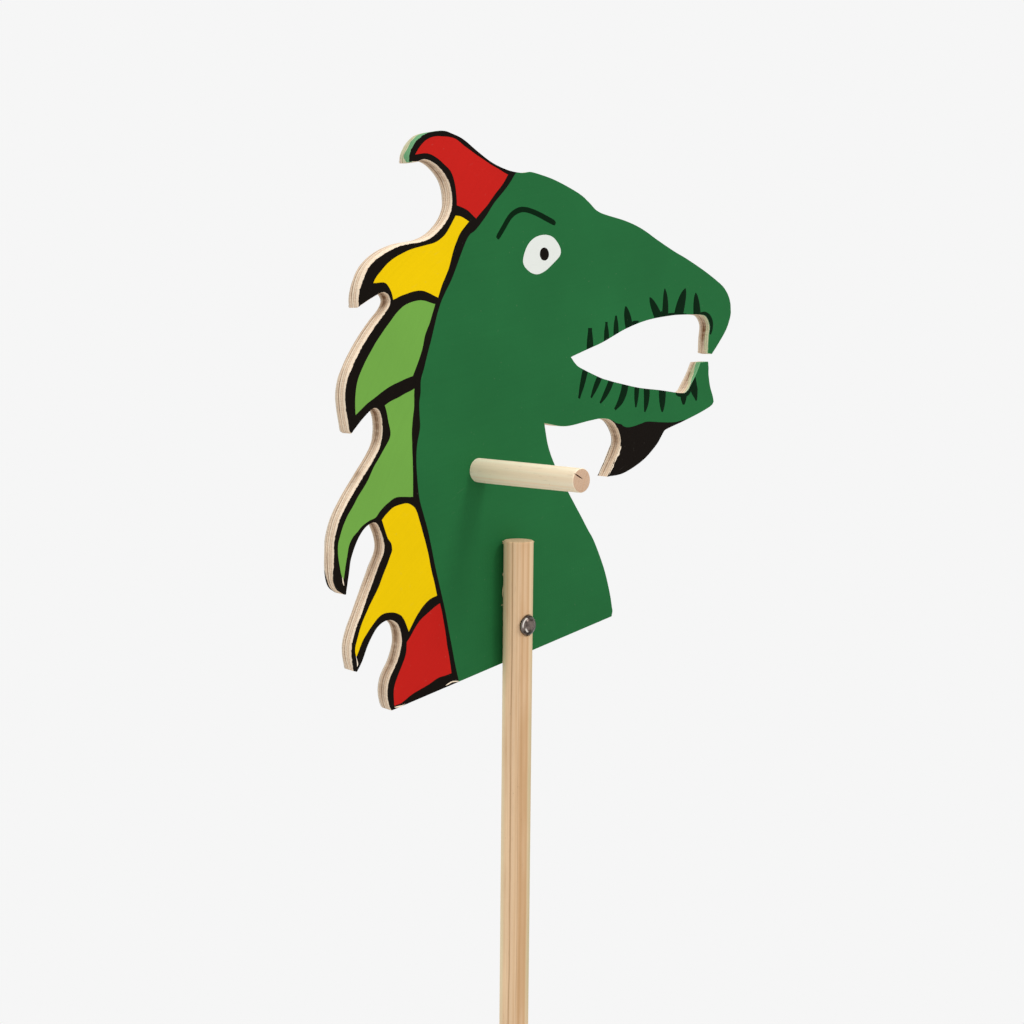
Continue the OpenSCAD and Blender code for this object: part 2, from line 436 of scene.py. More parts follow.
def sawnPlyMaterial():
    # plies in turn along and across the grain, with paint over the arris, and saw burns with painted shade in
    # tight curves
    made, tree, shader, where = newMaterial("sawnPly")
    tones = {name: tone(*colour) for name, colour in sawnPly.items()}
    inBoard = maths(tree, "SUBTRACT", addNode(tree, "SeparateXYZ", {0: where})["Y"], boardFront)
    depth = maths(tree, "DIVIDE", inBoard, mm)
    ply = maths(tree, "DIVIDE", depth, boardThick / board["plies"])
    crossed = maths(tree, "MODULO", maths(tree, "FLOOR", ply), 2.0)
    fromFace = maths(tree, "PINGPONG", depth, boardThick / 2)
    glue = times(tree, remapped(tree, maths(tree, "PINGPONG", ply, 0.5), 0.07, 0.02),
                 remapped(tree, fromFace, 0.6, 1.2))
    upright = drawnOut(tree, where, (1100, 1100, 22), 3, 0.6)
    level = drawnOut(tree, where, (22, 1100, 1100), 3, 0.6)
    grain = addNode(tree, "Mix", {0: crossed, 2: upright, 3: level})[0]
    shade = maths(tree, "MULTIPLY_ADD", crossed, 0.38, remapped(tree, grain, 0.35, 0.75, -0.05, 0.5))
    colour = mixed(tree, shade, tones["light"], tones["dark"])
    colour = mixed(tree, times(tree, glue, 0.7), colour, tones["glue"])
    colour = mixed(tree, remapped(tree, depth, *sawnDepths["grey"], 0, 0.45), colour, tones["grey"])
    # the dark streak comes and goes along the edge
    run = pointValue(tree, "edgeRun")
    patchy = clouds(tree, addNode(tree, "CombineXYZ", {0: run})[0], 0.035)
    drift = maths(tree, "MULTIPLY_ADD", patchy, sawnDepths["streakWander"], sawnDepths["streak"])
    streak = times(tree, remapped(tree, apartBy(tree, depth, drift), 1.0, 0.25),
                   remapped(tree, patchy, 0.38, 0.6, 0.10, 0.70))
    colour = mixed(tree, streak, colour, tones["streak"])
    # marks of the saw's teeth, and burns where it turned, darkened further as painted shade in the notches
    along = addNode(tree, "CombineXYZ", {0: run, 1: times(tree, depth, 0.06)})[0]
    teeth = clouds(tree, along, 1.1, 3, 0.65)
    colour = brightened(tree, colour, remapped(tree, teeth, 0.25, 0.75, 0.90, 1.07))
    uneven = remapped(tree, clouds(tree, along, 0.22, 3), 0.25, 0.6, 0.5, 1.0)
    middle = remapped(tree, apartBy(tree, depth, sawnDepths["burnWithShade"]), 4.6, 0.6, 0.12, 1.0)
    burnAndShadeAmount = times(tree, times(tree, pointValue(tree, "burnAndShadeAmount"), uneven), middle)
    colour = mixed(tree, burnAndShadeAmount, colour, tones["burnWithShade"])
    # coats of paint that ran over the edge
    blots = clouds(tree, where, 420, 3, 0.6)
    slow = clouds(tree, where, 60)
    for attribute, paint, cover, start in (
            ("washReach", "wash", 0.55, depth), ("greenReach", "mint", 0.86, depth),
            ("inkReach", "ink", 1.0, fromFace)):
        reach = pointValue(tree, attribute)
        spread = times(tree, reach, remapped(tree, slow, 0.3, 0.7, 0.8, 1.25))
        edge = maths(tree, "SUBTRACT", aboutMiddle(tree, blots, 1.5, spread), start)
        mask = times(tree, remapped(tree, edge, -0.12, 0.25), remapped(tree, reach, 0.02, 0.1))
        colour = mixed(tree, times(tree, mask, cover), colour, tones[paint])
    connect(tree, shader, {"Base Color": colour, "Roughness": 0.75, "Specular IOR Level": 0.06})
    bumped(tree, shader, maths(tree, "ADD", grain, maths(tree, "SUBTRACT", teeth, glue)), 0.00018)
    return made


woods = {
    "stickPine": {
        "light": (232, 198, 160), "dark": (206, 164, 122), "end": (214, 184, 148),
        "pith": (-0.030, 0.018, 0.0), "ring": 0.0042, "fibre": 0.16, "fleck": 0.05, "along": "Z",
        # bands along the grain: angle about the axis and half width in degrees, softness, colour, strength;
        # the wide ones are painted light and shade of the side that faces front left, with pale rims at its
        # two edges, lighter left of its middle and darker right of it; the narrow dark ones are growth lines
        "grainAndShadeBands": [
            (137, 40, 14, (240, 224, 184), 0.85), (-43, 38, 14, (196, 184, 144), 0.8),
            (-172, 13, 8, (255, 220, 178), 0.75), (-139, 12, 7, (238, 204, 164), 0.55),
            (-104, 20, 11, (198, 154, 108), 0.7), (-154, 1.5, 1.4, (146, 104, 68), 0.6),
            (-125, 0.9, 1.3, (160, 120, 82), 0.5), (-167, 0.8, 1.0, (168, 128, 90), 0.4)]},
    "handleBeech": {
        "light": (255, 240, 212), "dark": (253, 224, 188), "end": (186, 138, 108),
        "pith": (0.055, 0.020, 0.0), "ring": 0.0030, "fibre": 0.10, "fleck": 0.12, "along": "Y", "grainAndShadeBands": []},
    # painted shade for the inside of the crack in the handle's end
    "crackShade": {
        "light": (112, 72, 52), "dark": (96, 60, 42), "end": (100, 64, 46),
        "pith": (0.055, 0.020, 0.0), "ring": 0.0030, "fibre": 0.1, "fleck": 0.1, "along": "Z", "grainAndShadeBands": []}}


def withGrainAndShadeBands(tree, wood, where, grainAndShadeBands):
    # lighter and darker bands along the grain, partly painted light and shade and partly growth lines, which
    # wander about the axis and fade in places
    wander = 0.42    # radians
    apart = addNode(tree, "SeparateXYZ", {0: where})
    angle = maths(tree, "MULTIPLY_ADD", drawnOut(tree, where, (22, 22, 6), 3), wander,
                  maths(tree, "ARCTAN2", apart["Y"], apart["X"]))
    fading = remapped(tree, drawnOut(tree, where, (60, 60, 11)), 0.3, 0.65, 0.35, 1.0)
    for middle, half, soft, colour, strength in grainAndShadeBands:
        off = maths(tree, "SUBTRACT", angle, math.radians(middle) + wander / 2)
        away = maths(tree, "ABSOLUTE", maths(tree, "WRAP", off, math.pi, -math.pi))
        mask = remapped(tree, away, math.radians(half + soft), math.radians(half - soft))
        wood = mixed(tree, times(tree, times(tree, mask, fading), strength), wood, tone(*colour))
    return wood


def woodMaterial(name):
    look = woods[name]
    made, tree, shader, where = newMaterial(name)
    facing = addNode(tree, "SeparateXYZ", {0: addNode(tree, "TexCoord")["Normal"]})[look["along"]]
    if look["along"] == "Y":
        laid = turnedAbout(tree, "X", where, math.pi / 2, handleAxis)
        where = vectorMaths(tree, "SUBTRACT", laid, handleAxis)
    figure = placed(tree, woodFigure, {
        "Vector": where, "Light": tone(*look["light"]), "Dark": tone(*look["dark"]), "Pith": look["pith"],
        "Ring": look["ring"], "Fibre": look["fibre"], "Fleck": look["fleck"]})
    side = withGrainAndShadeBands(tree, figure["Color"], where, look["grainAndShadeBands"]) if look["grainAndShadeBands"] else figure["Color"]
    pores = clouds(tree, where, 1600, 2, 0.7)
    end = brightened(tree, mixed(tree, 0.7, figure["Color"], tone(*look["end"])),
                     remapped(tree, pores, 0.3, 0.7, 0.82, 1.08))
    colour = mixed(tree, remapped(tree, maths(tree, "ABSOLUTE", facing), 0.72, 0.9), side, end)
    worn = placed(tree, scuffs, {"Vector": where, "Amount": 0.3})
    colour = mixed(tree, worn["Mask"], colour, tone(*dustOn["wood"]))
    connect(tree, shader, {"Base Color": colour, "Roughness": 0.6, "Specular IOR Level": 0.08})
    bumped(tree, shader, figure["Height"], 0.00010)
    return made


# colour of the painted highlights on the bolt's head
paintedHighlightSteel = (232, 226, 218)
metals = {
    "boltSteel": {"bright": (124, 112, 105), "dull": (42, 33, 29), "roughness": (0.16, 0.34), "highlightArcs": [
        # arcs painted bright as highlights and reflections: radius and half width, middle direction, how far
        # round it reaches
        (7.35, 0.55, (-0.86, 0.5), 0.72), (7.7, 0.5, (0.8, 0.6), 0.84), (5.6, 0.8, (-0.8, -0.6), 0.88)]},
    "zincSteel": {
        "bright": (205, 206, 204), "dull": (150, 148, 142), "roughness": (0.26, 0.46), "highlightArcs": []}}


# painted highlights: bright arcs on the bolt's head where the lamp and the studio shine on it
def paintedHighlightArcs(tree, colour, where, arcs):
    away = stretched(tree, vectorMaths(tree, "SUBTRACT", where, pivot), (1 / mm, 0, 1 / mm))
    far = vectorMaths(tree, "LENGTH", away)
    for radius, half, (acrossX, acrossZ), reach in arcs:
        towards = vectorMaths(tree, "DOT_PRODUCT", away, (acrossX, 0, acrossZ))
        arc = remapped(tree, maths(tree, "DIVIDE", towards, far), reach, min(1, reach + 0.2))
        ring = remapped(tree, apartBy(tree, far, radius), half, half / 3)
        colour = mixed(tree, times(tree, ring, arc), colour, tone(*paintedHighlightSteel))
    return colour


def metalMaterial(name):
    look = metals[name]
    made, tree, shader, where = newMaterial(name)
    bright, dull = tone(*look["bright"]), tone(*look["dull"])
    stains = clouds(tree, where, 190, 4, 0.6)
    worn = placed(tree, scuffs, {"Vector": where, "Amount": 0.7})
    colour = mixed(tree, worn["Mask"], mixed(tree, remapped(tree, stains, 0.35, 0.65), dull, bright), bright)
    if look["highlightArcs"]:
        colour = paintedHighlightArcs(tree, colour, where, look["highlightArcs"])
    low, high = look["roughness"]
    connect(tree, shader, {
        "Base Color": colour, "Metallic": 1.0, "Roughness": remapped(tree, stains, 0.3, 0.7, high, low)})
    bumped(tree, shader, maths(tree, "ADD", clouds(tree, where, 700), worn["Mask"]), 0.00004)
    return made


def nylonMaterial():
    made, tree, shader, where = newMaterial("blueNylon")
    cloudy = clouds(tree, where, 600)
    connect(tree, shader, {
        "Base Color": mixed(tree, cloudy, tone(38, 78, 150), tone(58, 104, 182)),
        "Roughness": remapped(tree, cloudy, 0.3, 0.7, 0.34, 0.5)})
    bumped(tree, shader, cloudy, 0.00003)
    return made


# Meshes

def newObject(name, data):
    made = bpy.data.objects.new(name, data)
    bpy.context.scene.collection.objects.link(made)
    return made


def meshObject(name, bm):
    mesh = bpy.data.meshes.new(name)
    bm.to_mesh(mesh)
    bm.free()
    return newObject(name, mesh)


def smoothed(mesh, angle):
    # angle is the turn, in degrees, past which an edge stays sharp
    mesh.shade_smooth()
    mesh.set_sharp_from_angle(angle=math.radians(angle))


def settled(piece, body):
    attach(piece, body)
    return piece


def meshPiece(name, bm, looks, body, smoothAngle=None):
    piece = meshObject(name, bm)
    for look in looks:
        piece.data.materials.append(look)
    if smoothAngle is not None:
        smoothed(piece.data, smoothAngle)
    return settled(piece, body)


def evaluatedMesh(maker):
    # what the object's modifiers make, as a plain mesh
    graph = bpy.context.evaluated_depsgraph_get()
    return bpy.data.meshes.new_from_object(maker.evaluated_get(graph))


def cutWith(piece, operation, cutter):
    cut = piece.modifiers.new("cut", "BOOLEAN")
    cut.operation = operation
    cut.object = cutter
    cut.solver = "EXACT"
    return cut


def wall(bm, first, second, closed=True, material=0):
    # quads between two rows of points
    count = len(first) if closed else len(first) - 1
    for i in range(count):
        k = (i + 1) % len(first)
        face = bm.faces.new((first[i], second[i], second[k], first[k]))
        face.material_index = material


def lathed(name, profile, place, look, body, segments=96, bored=False, shape=None, smoothAngle=35):
    # profile: along and radius, and for a row with flats their number and half width;
    # shape may change a point's radius
    bm = bmesh.new()
    rows = []
    for along, radius, *flats in profile:
        row = []
        for k in range(segments):
            angle = math.tau * k / segments
            reach = radius
            if flats:
                sides, half = flats
                fromFlat = (angle + math.pi / sides) % (math.tau / sides) - math.pi / sides
                reach = min(radius, half / math.cos(fromFlat))
            if shape:
                reach = shape(along, angle, reach)
            spot = Vector((reach * math.cos(angle) * mm, reach * math.sin(angle) * mm, along * mm))
            row.append(bm.verts.new(place @ spot))
        rows.append(row)
    for first, second in zip(rows, rows[1:] + (rows[:1] if bored else [])):
        wall(bm, second, first)
    if not bored:
        bm.faces.new(rows[0][::-1])
        bm.faces.new(rows[-1])
    bmesh.ops.recalc_face_normals(bm, faces=bm.faces)
    return meshPiece(name, bm, [materials[look]], body, smoothAngle)


def rodProfile(length, radius, corner, stations, steps=5):
    # a rod with rounded ends, and a row of points at each station between them
    turns = [math.pi / 2 * k / steps for k in range(steps + 1)]
    end = [(length + (corner * math.sin(turn) - corner), radius - corner + corner * math.cos(turn))
           for turn in turns]
    start = [(length - along, reach) for along, reach in reversed(end)]
    return start + [(along, radius) for along in stations] + end


# Head board

board = {
    "step": 1.6,            # along the sawn line
    "cornerTurn": 38,       # degrees past which the line has a corner
    "narrowTip": 0.9,       # a tip up to this wide is one corner
    "plies": 5,
    "shy": 0.03,            # the saw runs this far inside the line
    "arris": [0, 0.06, 0.15, 0.3, 0.55, 0.9, 1.4],    # depths of the rows near each face
    # a sanded edge reaches this deep, and deeper by a share of its width, and falls off in this curve
    "sandedDeep": 0.45, "sandedShare": 1.1, "sandedCurve": 1.8,
    "glueGroove": 0.09,
    "glueHalf": 0.22,
    "sawRipple": 0.06,
    "handleHole": 10,       # radii of the two holes
    "boltHole": 3.1}

# how far the face's sanded edge lies inside the sawn line: x, z and millimetres, in between as on a ramp
sanding = [
    (-107, 370.5, 0.9), (-102, 383, 0.5), (-97, 388, 1.4), (-93, 391, 1.2), (-88, 393, 0.4), (-80, 395, 0.3),
    (-20, 376.6, 0.2), (250, 259, 0.2), (120, 117, 0.2), (-122, -56.3, 0.2),
    (-90, 372.5, 0.3), (-79, 369, 0.4), (-68, 359.5, 0.5), (-64, 346, 0.4), (-65, 339, 1.5), (-75, 322, 1.5),
    (-87, 315, 2.2), (-94, 311.7, 1.9), (-103, 309.5, 1.5), (-117, 306.7, 1.9), (-134, 299, 2.4),
    (-145.5, 289.5, 1.6), (-151.6, 280, 2.6), (-154.5, 271, 1.6), (-155, 262, 0.8),
    (-126.5, 268, 0.3), (-126, 260, 1), (-138.7, 246.6, 1.7), (-145, 239, 1.5), (-162.4, 213, 1.9),
    (-165, 206.5, 0.9), (-167.4, 190, 0.4), (-165.5, 174, 0.9), (-163.5, 167, 0.5),
    (-137, 181, 0.4), (-132.5, 161, 0.3), (-137, 151, 1.5), (-147, 138, 1.7), (-160, 121, 1.6),
    (-167, 111, 1.2),
    (-175, 94, 0.7), (-178, 83, 0.3), (-178.7, 74, 1.1), (-178, 58, 0.3), (-170, 43, 0.2),
    (-138, 93.6, 0.4), (-134, 88, 0.3), (-131.3, 76, 1.2), (-134, 65, 0.6), (-137, 58, 0.2), (-145, 42, 0.6),
    (-151, 31, 1.2), (-154, 24, 1.4), (-158, 14, 0.8), (-162.8, 0, 1), (-162, -11, 1), (-160, -18, 0.2),
    (-153, -16, 0.3), (-125, 16, 0.2), (-118, 13, 0.7), (-115, 7, 0.4), (-114, -3, 1.1), (-117, -16, 0.5),
    (-126, -33, 0.2), (-127.5, -45, 0.3), (-124, -55, 0.2), (136, 147, 0.4), (128, 128, 0.4)]

# where paint ran over the edge, counterclockwise from and to: how far the green and its thin wash
# reach from the front, and the ink from both faces
runOvers = [
    {"from": (-60, 393), "to": (-105.5, 370), "reach": (6.6, 14, 0.5)},
    {"from": (0, 371), "to": (-60, 393), "reach": (2.2, 3.7, 0.5)},
    {"from": (-106, 369.5), "to": (-54, -43.5), "reach": (0, 0, 0.1)},
    {"from": (-178, 57), "to": (-169, 42.3), "reach": (0, 0, 2.1)},
    {"from": (-160.8, -15.5), "to": (-157, -20), "reach": (0, 0, 0.7)},
    {"from": (119, 116), "to": (217, 162), "reach": (0, 0, 1.2)},
    {"from": (124.5, 165), "to": (119, 116), "reach": (0, 0, 0.8)},
    {"from": (254, 217), "to": (243, 208), "reach": (5.6, 8.5, 0)},
    {"from": (243, 208), "to": (232, 198), "reach": (2.6, 7.5, 0)},
    {"from": (232, 198), "to": (222, 189), "reach": (0.5, 3, 0)},
    {"from": (222, 189), "to": (84, 211), "reach": (0.6, 1, 0.6)},
    {"from": (107, 234), "to": (244, 261), "reach": (0.6, 1, 0.5)},
    {"from": (246, 260), "to": (254, 226), "reach": (0.5, 4.6, 0)}]
usualReach = (0.7, 1.2, 0)

# saw burns together with painted shade in the notches: x, z, how far they spread and how dark they are
burnsAndNotchShades = [
    (-124, 266, 12, 0.95), (-132, 168, 20, 0.8), (-133, 184, 8, 0.5), (-131, 82, 20, 0.7),
    (-146, 96, 12, 0.5),
    (-141, 60, 16, 0.4), (-152, 131, 9, 0.6), (-112, 4, 24, 0.72), (-128, 16, 14, 0.4), (-117, -24, 14, 0.6),
    (-127, -42, 9, 0.5), (-72, 365, 13, 0.45), (-88, 372, 12, 0.6), (133, 150, 20, 0.75), (128, 124, 12, 0.3),
    (255, 246, 15, 0.95), (240, 205, 18, 0.85)]


def edgeLook(loop):
    # for each point of the sawn line: reach of green, wash and ink, burn with painted shade, and length run
    # so far
    reach = [usualReach] * len(loop)
    for coat in runOvers:
        for i in stretchOf(loop, coat["from"], coat["to"]):
            reach[i] = coat["reach"]
    soft = 3    # points on either side that a coat's end fades over
    looks = []
    run = 0.0
    for i, point in enumerate(loop):
        near = [k % len(loop) for k in range(i - soft, i + soft + 1)]
        burnWithShade = sum(dark * math.exp(-(math.dist(point, (x, z)) / spread) ** 2)
                   for x, z, spread, dark in burnsAndNotchShades)
        coats = tuple(sum(reach[k][paint] for k in near) / len(near) for paint in range(3))
        looks.append(coats + (min(1.0, burnWithShade), run))
        run += math.dist(point, loop[(i + 1) % len(loop)])
    return looks


def sandedWidths(loop):
    # the sanding at each point of the line
    marks = sorted((nearest(loop, (x, z)), amount) for x, z, amount in sanding)
    marks = [(marks[-1][0] - len(loop), marks[-1][1])] + marks + [(marks[0][0] + len(loop), marks[0][1])]
    widths = []
    for (first, low), (last, high) in zip(marks, marks[1:]):
        widths += [low + (high - low) * (i - first) / (last - first)
                   for i in range(max(first, 0), min(last, len(loop)))]
    return widths


def sandedIn(depth, width):
    # how far inside the line a sanded edge lies at a depth from the nearer face
    deepest = board["sandedDeep"] + board["sandedShare"] * width
    return width * max(0, 1 - depth / deepest) ** board["sandedCurve"]


def edgeRows():
    # (depth, groove) from the front to the back
    ply = boardThick / board["plies"]
    half = board["glueHalf"]
    arris = board["arris"]
    rows = []
    for k in range(1, board["plies"]):
        line = k * ply
        rows += [(line - half, 0), (line - half / 3, board["glueGroove"]),
                 (line + half / 3, board["glueGroove"]), (line + half, 0)]
        if k < board["plies"] - 1:
            rows.append((line + ply / 2, 0))
    return [(depth, 0) for depth in arris] + rows + [(boardThick - depth, 0) for depth in reversed(arris)]


def sawnBoard():
    line = inset(sawnCurve(board["step"], board["cornerTurn"]), board["shy"])
    normals = leftNormals(line)
    looks = edgeLook(line)
    widths = sandedWidths(line)
    bm = bmesh.new()
    layers = [bm.verts.layers.float.new(name) for name in (
        "greenReach", "washReach", "inkReach", "burnAndShadeAmount", "edgeRun")]
    rows = []
    for depth, groove in edgeRows():
        row = []
        for point, normal, look, wide in zip(line, normals, looks, widths):
            # lines that the saw left across the edge, and a wave where its blade wandered
            run = look[-1]
            ripple = noise.noise((run * 0.55, depth * 0.05, 3.1))
            ripple += 0.6 * noise.noise((run * 0.2, depth * 0.9, 8.4))
            fromFace = min(depth, boardThick - depth)
            inwards = groove + sandedIn(fromFace, wide)
            inwards += board["sawRipple"] * max(0, 0.5 + ripple) * min(1, fromFace)
            vert = bm.verts.new(onBoard((point[0] + normal.x * inwards, point[1] + normal.y * inwards),
                                        boardFront + depth * mm))
            for layer, value in zip(layers, look):
                vert[layer] = value
            row.append(vert)
        rows.append(row)
    for first, second in zip(rows, rows[1:]):
        wall(bm, first, second, material=1)
    handlePlace = ((handleAxis.x - pivot.x) / mm, (handleAxis.z - pivot.z) / mm)
    handleHole = circle(handlePlace, board["handleHole"], 72)
    boltHole = circle((0, 0), board["boltHole"], 36)
    face = [(p[0] + n.x * wide, p[1] + n.y * wide) for p, n, wide in zip(line, normals, widths)]
    loops = [face, handleHole, boltHole]
    triangles = filled(loops)
    holes = []
    for y, rim in ((boardFront, rows[0]), (boardBack, rows[-1])):
        holes.append([[bm.verts.new(onBoard(p, y)) for p in hole] for hole in loops[1:]])
        numbered = rim + holes[-1][0] + holes[-1][1]
        for triangle in triangles:
            bm.faces.new([numbered[i] for i in (triangle if y == boardFront else triangle[::-1])])
    for first, second in zip(*holes):
        wall(bm, first, second, material=1)
    piece = meshPiece("sawn_board", bm, [materials["greenPaint"], materials["sawnPly"]], "head",
                      40)
    caps = [abs(p.normal.y) > 0.999 and p.material_index == 0 for p in piece.data.polygons]
    piece.data.polygons.foreach_set("use_smooth", [not cap for cap in caps])
    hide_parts("head_board")
    return face


# Paint: cells of colour, with the black of the mane laid over their edges; each run of a cell's
# outline ends in a corner

cells = {
    "red_crest": {"paint": "redPaint", "runs": [
        [(-100.4, 375.3), (-95.1, 382.3), (-87.2, 388.7), (-79.2, 391.2), (-72.3, 391.9), (-66.4, 392),
         (-60.6, 391.2), (-54.7, 389), (-42.7, 383.2), (-24.4, 375.8), (-11.9, 371.3)],
        [(-3.8, 368.6), (-10, 360.5), (-24, 345)],
        [(-38, 331.4), (-46.5, 336.7), (-53, 339)],
        [(-58.3, 340), (-59, 348), (-60.8, 358.3), (-64.9, 366), (-71.8, 371), (-78, 374.6), (-86, 377),
         (-91.5, 377.2)]]},
    "yellow_lock": {"paint": "yellowPaint", "runs": [
        [(-59.4, 332.4), (-53.5, 331.8)],
        [(-45.5, 328.5), (-55, 318), (-62, 304), (-66, 291), (-73, 278)],
        [(-77, 267.5), (-86, 271), (-96, 272.5), (-111, 269)],
        [(-121.5, 264.8), (-122.6, 269.5), (-126, 274.5), (-130.5, 277.3)],
        [(-140.3, 276.8), (-136.5, 282.5), (-129, 290.2), (-121, 295.9), (-114, 299.6), (-101, 304.5),
         (-82, 309.5), (-73, 314.3), (-66, 322)]]},
    "leaf_lock": {"paint": "leafPaint", "runs": [
        [(-80, 262.5), (-84, 251), (-90, 237.5), (-94, 224)],
        [(-102, 206.5), (-116, 202), (-129, 196.2), (-144, 187.3), (-151, 182.5)],
        [(-157.3, 177.6), (-157.6, 190), (-156.2, 200.5), (-151.7, 212), (-142.5, 225.8), (-135.2, 235.7),
         (-123.8, 249), (-115.4, 257.2), (-104.8, 263), (-93, 264.9)]]},
    "long_leaf_lock": {"paint": "leafPaint", "runs": [
        [(-129.6, 184.3), (-123, 187.7), (-115, 191)],
        [(-100.5, 197), (-101.3, 181), (-103.2, 163), (-102.6, 146), (-102, 131.5)],
        [(-102, 112), (-118, 112.5), (-127, 108.5), (-134.2, 102.9), (-138.6, 98), (-144.5, 96.1),
         (-151, 92.9), (-155.5, 88.9), (-160, 85), (-163.5, 79), (-165.6, 71.5), (-167.5, 61)],
        [(-169.3, 52), (-172.3, 61), (-174.2, 77.5), (-172.2, 86.7), (-168, 96.5), (-162.8, 105.2),
         (-147.7, 125.5), (-139, 139), (-130.5, 150.5), (-125.6, 157.5), (-124.2, 163), (-126, 170.4),
         (-128, 179)]]},
    "low_yellow_lock": {"paint": "yellowPaint", "runs": [
        [(-132.9, 95.9), (-128.1, 100.2), (-120, 105.4), (-109, 107.4), (-101.6, 104.6), (-98.1, 99.8),
         (-93, 86), (-88.3, 72.1), (-84.5, 57)],
        [(-77, 30.4), (-87, 27), (-96.5, 18.5)],
        [(-106, 4.5), (-110.5, 14), (-115, 19.3), (-123.8, 22.2), (-132.4, 21.7), (-141.7, 14.7),
         (-150.2, 4.7), (-155.5, -5.3)],
        [(-157.5, -9), (-158.6, -4), (-157.5, 2.6), (-152.3, 16.3), (-145.3, 29), (-137.2, 41.6),
         (-129.4, 57.3)],
        [(-122.6, 71), (-123.4, 76.5)],
        [(-126.8, 80.9), (-130.2, 89)]]},
    "low_red_lock": {"paint": "redPaint", "runs": [
        [(-74, 23.9), (-79, 21.8), (-85, 18.4), (-94.2, 12.3), (-100.6, 5.9), (-105.1, 0)],
        [(-108.2, -3.5), (-109.2, -13.2), (-112.2, -20.7), (-116.7, -28.6), (-120, -36), (-121.3, -42.5)],
        [(-120.7, -53.4), (-113.1, -52.2), (-103.2, -47), (-94.1, -43.9), (-84.8, -40.9), (-75.5, -37.6),
         (-68, -36.6)],
        [(-61.4, -35.8), (-64.8, -18), (-68.2, -1.3), (-71.4, 14)]]}}

maneBorder = [
    (5.5, 372), (-4.5, 359.2), (-18.8, 344.9), (-27.6, 333.8), (-38.1, 322.7), (-44.2, 318.6), (-48.5, 312.9),
    (-54.5, 300.9), (-58.7, 291.7), (-64, 281.1), (-69.8, 271.9), (-74.2, 264), (-77.8, 254.9), (-81, 244.4),
    (-84.3, 233.5), (-88, 222.5), (-91.2, 212), (-94.2, 203.5), (-94.6, 193), (-95.8, 185.4), (-95.5, 176.3),
    (-95, 166), (-97.6, 154.2), (-98.6, 143.8), (-98.1, 130.8), (-95.6, 110.9), (-90.9, 96.1), (-85.9, 81.1),
    (-79, 53.8), (-75, 39.8), (-71.4, 27.2), (-68, 14.7), (-64.6, 0), (-61.2, -14), (-57.4, -30), (-54, -42)]
beardTop = [
    (124.5, 165.3), (129.8, 162.9), (135.5, 161.9), (139, 159.8), (144.6, 158.8), (152, 159.5), (162, 161.6),
    (171, 163.2), (190, 162), (207, 161.5), (215, 162.4), (222.6, 163.4)]
eyeWhite = [
    (13.7, 299.6), (17.6, 312), (27, 320), (38.4, 323), (48.2, 321.2), (56, 314), (56.3, 307), (48.6, 300),
    (39, 293), (29.4, 290), (20, 292.4)]
pupil = {"centre": (38, 307), "half": (5.2, 5.6)}
maneEnds = (5.5, 372), (-54, -43.5)
beardEnds = (125.6, 165), (222.6, 162.6)
bareChips = [
    [(-170.3, 55.2), (-169.2, 51.6), (-168.6, 48.2), (-170, 50.8)],
    [(-157.8, -7.5), (-156.8, -10.5), (-155.8, -14), (-156.6, -16.2), (-157, -12.5)],
    [(-120.6, -54.4), (-117, -53.9), (-112.5, -53.9), (-109.5, -53.3), (-113, -54.6), (-117, -55.1)],
    [(-67.8, -45), (-65, -43.6), (-60.8, -42.5), (-56, -42.9), (-53.4, -43.7), (-56, -43.8), (-60.8, -43.5),
     (-64.5, -44.6)],
    [(135.4, 142), (135.7, 139.8), (134.3, 137.6), (133.8, 134.6), (131, 132.5), (129.5, 129.6),
     (127.6, 128.4)],
    [(127.2, 127.4), (126.6, 124.2), (124.8, 122.2), (122.6, 119.4), (120.8, 116.9), (122.6, 120.4),
     (124.8, 124)]]
# heights of the paint above the board, how deep it is sunk, how far a cell runs on under the black,
# and how unsteady the brush was
film = {
    "colour": 0.05, "white": 0.07, "black": 0.11, "chips": 0.13, "sunk": 0.02, "tuck": 0.6,
    "wander": 0.45, "eyeWander": 0.3, "pupilWander": 0.5}


def paintFilm(name, loopSets, lift, look):
    # thin closed films on both faces of the board; the first loop of a set is its edge, the rest are holes
    bm = bmesh.new()
    for loops in loopSets:
        loops = [counterclockwise(loops[0])] + [counterclockwise(hole)[::-1] for hole in loops[1:]]
        triangles = filled(loops)
        for face, outwards in ((boardFront, -1), (boardBack, 1)):
            top, under = (
                [[bm.verts.new(onBoard(p, face + outwards * height * mm)) for p in loop] for loop in loops]
                for height in (lift, -film["sunk"]))
            for level, facing in ((top, -1), (under, 1)):
                numbered = sum(level, [])
                for triangle in triangles:
                    order = triangle if facing == outwards else triangle[::-1]
                    bm.faces.new([numbered[i] for i in order])
            for first, second in zip(top, under):
                if outwards > 0:
                    first, second = second, first
                wall(bm, first, second)
    meshPiece(name, bm, [materials[look]], "head")


def alongFace(face, start, end, border, margin=0.8):
    # the face's edge from start to end, closed by a given border back to the start
    edge = [face[i] for i in stretchOf(face, start, end)]
    back = [p for p in smoothRun(border)
            if isInside(p, face) and min(math.dist(p, q) for q in edge) > margin]
    if math.dist(back[0], edge[-1]) > math.dist(back[-1], edge[-1]):
        back = back[::-1]
    return edge + back


